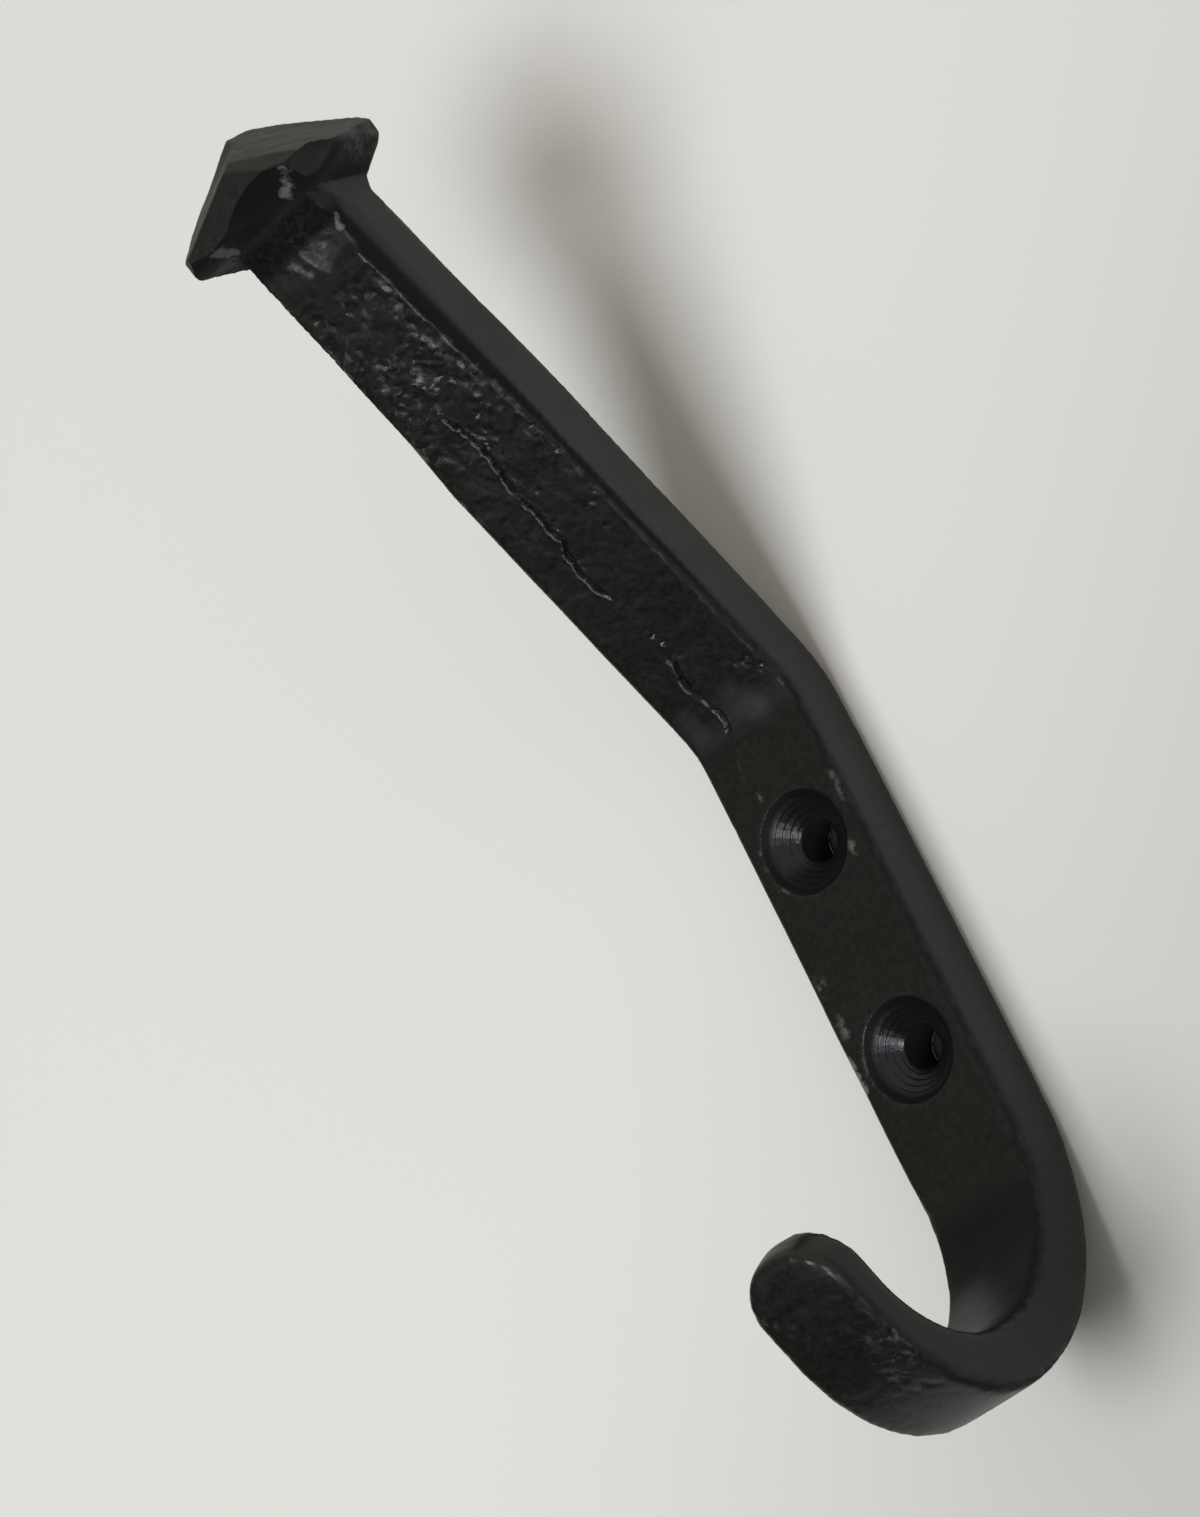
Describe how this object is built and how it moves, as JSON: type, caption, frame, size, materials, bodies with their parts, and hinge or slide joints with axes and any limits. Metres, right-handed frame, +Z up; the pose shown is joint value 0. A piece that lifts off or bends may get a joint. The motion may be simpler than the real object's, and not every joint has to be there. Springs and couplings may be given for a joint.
{
  "type": "spike hook",
  "caption": "Forged wall hook made from a drawn-out spike: faceted head on a leaning arm, flat strap with countersunk screw holes, and a curled lower hook.",
  "frame": {"origin": "on the flat back face of the strap, midway between the two screw holes", "axes": "+X across the strap, -Y out from the wall to the front, +Z up along the strap to the head"},
  "size_m": [0.0274, 0.0649, 0.1893],
  "materials": {
    "black_finish": "satin black over forged steel"
  },
  "bodies": {
    "root": {"spike_hook": "black_finish"}
  },
  "joints": []
}
